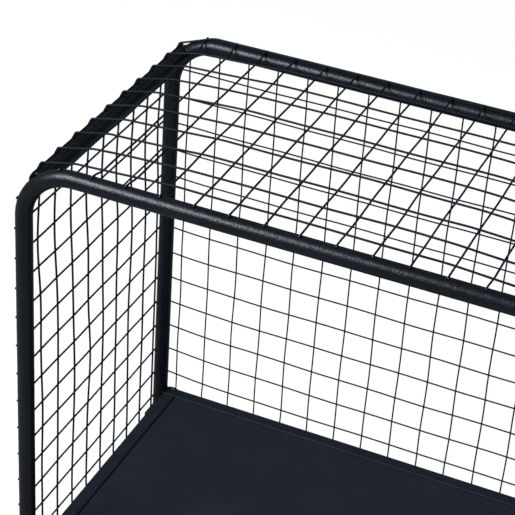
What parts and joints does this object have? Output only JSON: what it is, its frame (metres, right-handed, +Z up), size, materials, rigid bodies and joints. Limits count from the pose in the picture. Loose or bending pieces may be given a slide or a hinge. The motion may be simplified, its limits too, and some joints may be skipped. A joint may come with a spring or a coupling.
{
  "type": "wire cage folding side table",
  "caption": "Low open-fronted side table: arched round tube frame skinned in square wire mesh, flat sheet shelf in its base, and end leg frames that fold under it.",
  "frame": {"origin": "on the floor, under the middle of the table", "axes": "+X to the right, +Y to the back, +Z up; the open front faces -Y"},
  "size_m": [0.5662, 0.3242, 0.5988],
  "materials": {
    "frame_coat": "black powder coat, satin",
    "mesh_wire": "black powder coat over welded wire",
    "shelf_coat": "black powder coat, fine and smooth",
    "zinc_hardware": "bright zinc plate",
    "black_plastic": "moulded, fine matt texture"
  },
  "bodies": {
    "frame": {"front_frame": "frame_coat", "back_frame": "frame_coat", "front_bottom_rail": "frame_coat", "back_bottom_rail": "frame_coat", "hoop_wires": "mesh_wire", "top_wires": "mesh_wire", "back_row_wires": "mesh_wire", "back_upright_wires": "mesh_wire", "shelf_tabs": "frame_coat", "left_top_rail": "frame_coat", "left_bottom_rail": "frame_coat", "left_wires": "mesh_wire", "left_hinge_brackets": "frame_coat", "left_pivot_bolts": "zinc_hardware", "left_pivot_nuts": "zinc_hardware", "right_top_rail": "frame_coat", "right_bottom_rail": "frame_coat", "right_wires": "mesh_wire", "right_hinge_brackets": "frame_coat", "right_pivot_bolts": "zinc_hardware", "right_pivot_nuts": "zinc_hardware"},
    "shelf": {"shelf_panel": "shelf_coat", "shelf_stiffeners": "shelf_coat"},
    "left_leg_frame": {"left_front_leg": "frame_coat", "left_back_leg": "frame_coat", "left_rung": "frame_coat", "left_leg_plugs": "black_plastic", "left_pivot_sleeves": "zinc_hardware", "left_pivot_washers": "black_plastic", "left_feet": "black_plastic"},
    "right_leg_frame": {"right_front_leg": "frame_coat", "right_back_leg": "frame_coat", "right_rung": "frame_coat", "right_leg_plugs": "black_plastic", "right_pivot_sleeves": "zinc_hardware", "right_pivot_washers": "black_plastic", "right_feet": "black_plastic"}
  },
  "joints": [
    {"name": "left_leg_fold", "type": "hinge", "parent": "frame", "child": "left_leg_frame", "pos_m": [-0.258, 0, 0.1035], "axis": [0, -1, 0], "range_deg": [0, 98]},
    {"name": "right_leg_fold", "type": "hinge", "parent": "frame", "child": "right_leg_frame", "pos_m": [0.258, 0, 0.1035], "axis": [0, 1, 0], "range_deg": [0, 98]},
    {"name": "shelf_lift", "type": "slide", "parent": "frame", "child": "shelf", "axis": [0, 0, 1], "range_m": [0, 0.04]}
  ]
}
